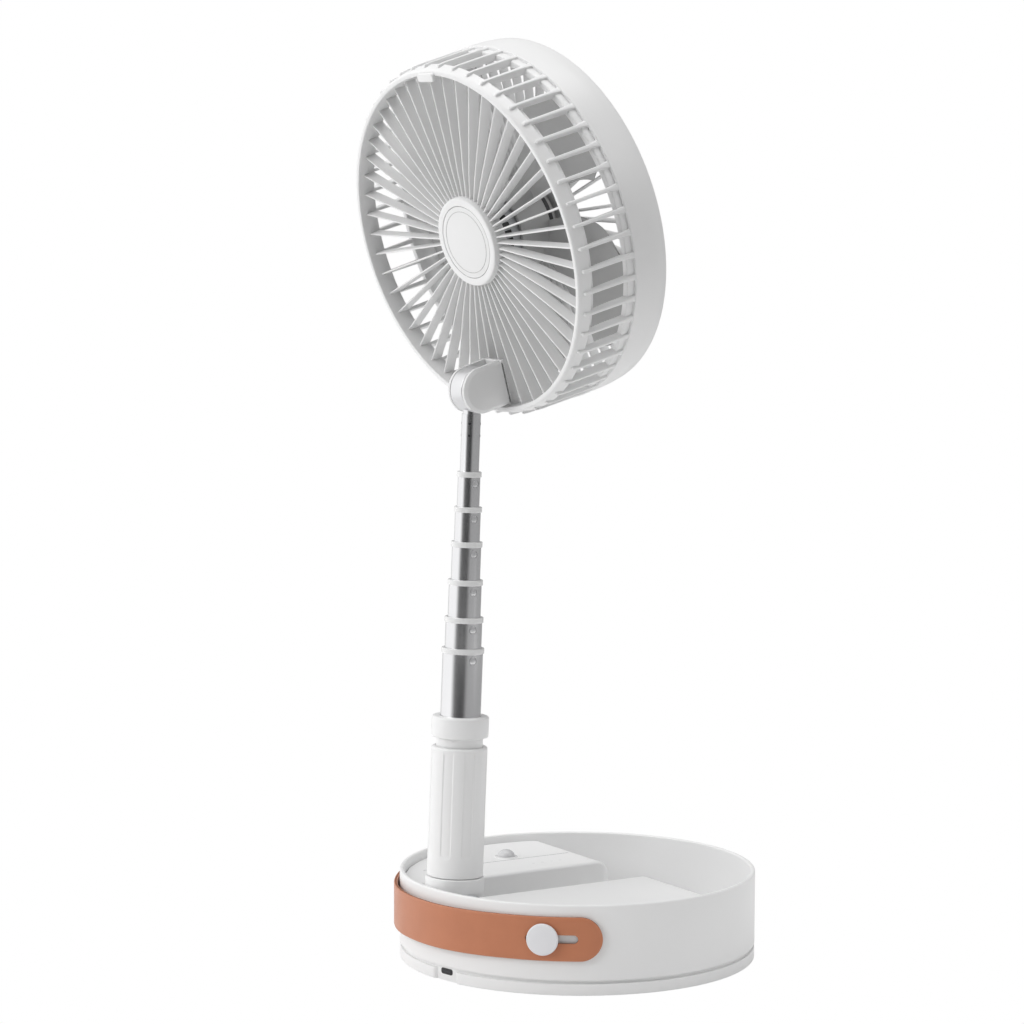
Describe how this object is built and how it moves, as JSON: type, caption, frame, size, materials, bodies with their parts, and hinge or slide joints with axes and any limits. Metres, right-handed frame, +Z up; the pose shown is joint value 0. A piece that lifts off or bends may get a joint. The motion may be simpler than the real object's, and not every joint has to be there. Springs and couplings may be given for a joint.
{
  "type": "folding stand fan",
  "caption": "Rechargeable fan on a telescopic pole that folds into its round puck-shaped base, with a tilting head and a leather carry strap.",
  "frame": {"origin": "middle of the base's resting face, on the central pad", "axes": "+Z up; +X the way the head faces over the pole's channel; +Y the side with the power button"},
  "size_m": [0.2049, 0.2033, 0.5124],
  "materials": {
    "white_plastic": "satin moulded",
    "grey_plastic": "satin moulded",
    "dark_plastic": "matt",
    "steel": "turned",
    "satin_tube": "satin lacquer",
    "leather": "smooth grained",
    "board": "solder mask",
    "cell": "wrapped",
    "copper": "wound wire",
    "rubber": "matt"
  },
  "bodies": {
    "base": {"base_shell": "white_plastic", "bottom_plate": "white_plastic", "control_housing": "white_plastic", "battery_housing": "white_plastic", "circuit_board": "board", "button_switch": "dark_plastic", "indicator_lights": "grey_plastic", "battery_cell_1": "cell", "battery_cell_2": "cell", "battery_cell_3": "cell", "usb_socket": "dark_plastic", "rubber_foot_1": "rubber", "rubber_foot_2": "rubber", "rubber_foot_3": "rubber", "rubber_foot_4": "rubber", "rubber_foot_5": "rubber", "bottom_screw_1": "steel", "bottom_screw_2": "steel", "bottom_screw_3": "steel", "bottom_screw_4": "steel", "hinge_bracket": "grey_plastic", "fold_pin": "steel", "strap": "leather", "stud_front": "white_plastic", "stud_back": "white_plastic"},
    "button": {"power_button": "grey_plastic"},
    "column": {"pole_foot": "white_plastic", "pole_column": "white_plastic"},
    "sleeve": {"lock_sleeve": "white_plastic"},
    "tube_7": {"tube_7": "satin_tube", "ring_7": "white_plastic"},
    "tube_6": {"tube_6": "satin_tube", "ring_6": "white_plastic"},
    "tube_5": {"tube_5": "satin_tube", "ring_5": "white_plastic"},
    "tube_4": {"tube_4": "satin_tube", "ring_4": "white_plastic"},
    "tube_3": {"tube_3": "satin_tube", "ring_3": "white_plastic"},
    "tube_2": {"tube_2": "satin_tube", "ring_2": "white_plastic"},
    "tube_1": {"tube_1": "satin_tube"},
    "neck": {"neck_barrel": "satin_tube", "tilt_pin": "steel"},
    "head": {"neck_yoke": "white_plastic", "rear_cage": "white_plastic", "rear_badge": "white_plastic", "stow_latch": "white_plastic", "shroud": "white_plastic", "front_grille": "white_plastic", "front_badge": "white_plastic", "motor_housing": "grey_plastic", "motor_stator": "copper", "rear_bearing": "steel", "front_bearing": "steel"},
    "rotor": {"fan_rotor": "white_plastic", "motor_shaft": "steel", "rotor_cap": "steel"}
  },
  "joints": [
    {"name": "button_press", "type": "slide", "parent": "base", "child": "button", "axis": [0, 0, -1], "range_m": [0, 0.0008], "stiffness_N_per_m": 400, "springref_m": -0.0008},
    {"name": "pole_fold", "type": "hinge", "parent": "base", "child": "column", "pos_m": [-0.081, 0, 0.0326], "axis": [0, 1, 0], "range_deg": [-2.3, 76]},
    {"name": "sleeve_slide", "type": "slide", "parent": "column", "child": "sleeve", "axis": [0.0401, 0, 0.9992], "range_m": [0, 0.0042]},
    {"name": "tube_7_slide", "type": "slide", "parent": "column", "child": "tube_7", "axis": [0.0401, 0, 0.9992], "range_m": [-0.0343, 0.042]},
    {"name": "tube_6_slide", "type": "slide", "parent": "tube_7", "child": "tube_6", "axis": [0.0401, 0, 0.9992], "range_m": [-0.0137, 0.065]},
    {"name": "tube_5_slide", "type": "slide", "parent": "tube_6", "child": "tube_5", "axis": [0.0401, 0, 0.9992], "range_m": [-0.0172, 0.062]},
    {"name": "tube_4_slide", "type": "slide", "parent": "tube_5", "child": "tube_4", "axis": [0.0401, 0, 0.9992], "range_m": [-0.0176, 0.063]},
    {"name": "tube_3_slide", "type": "slide", "parent": "tube_4", "child": "tube_3", "axis": [0.0401, 0, 0.9992], "range_m": [-0.0158, 0.066]},
    {"name": "tube_2_slide", "type": "slide", "parent": "tube_3", "child": "tube_2", "axis": [0.0401, 0, 0.9992], "range_m": [-0.0159, 0.068]},
    {"name": "tube_1_slide", "type": "slide", "parent": "tube_2", "child": "tube_1", "axis": [0.0401, 0, 0.9992], "range_m": [-0.0132, 0.07]},
    {"name": "head_pan", "type": "hinge", "parent": "tube_1", "child": "neck", "pos_m": [-0.06938, 0, 0.32187], "axis": [0.0401, 0, 0.9992], "range_deg": [-90, 90]},
    {"name": "head_tilt", "type": "hinge", "parent": "neck", "child": "head", "pos_m": [-0.06789, 0.00015, 0.32181], "axis": [0.0992, -0.9951, -0.004], "range_deg": [-20, 151]},
    {"name": "rotor_spin", "type": "hinge", "parent": "head", "child": "rotor", "pos_m": [-0.08857, -0.00222, 0.39781], "axis": [0.9598, 0.0947, 0.2641], "continuous": true}
  ]
}
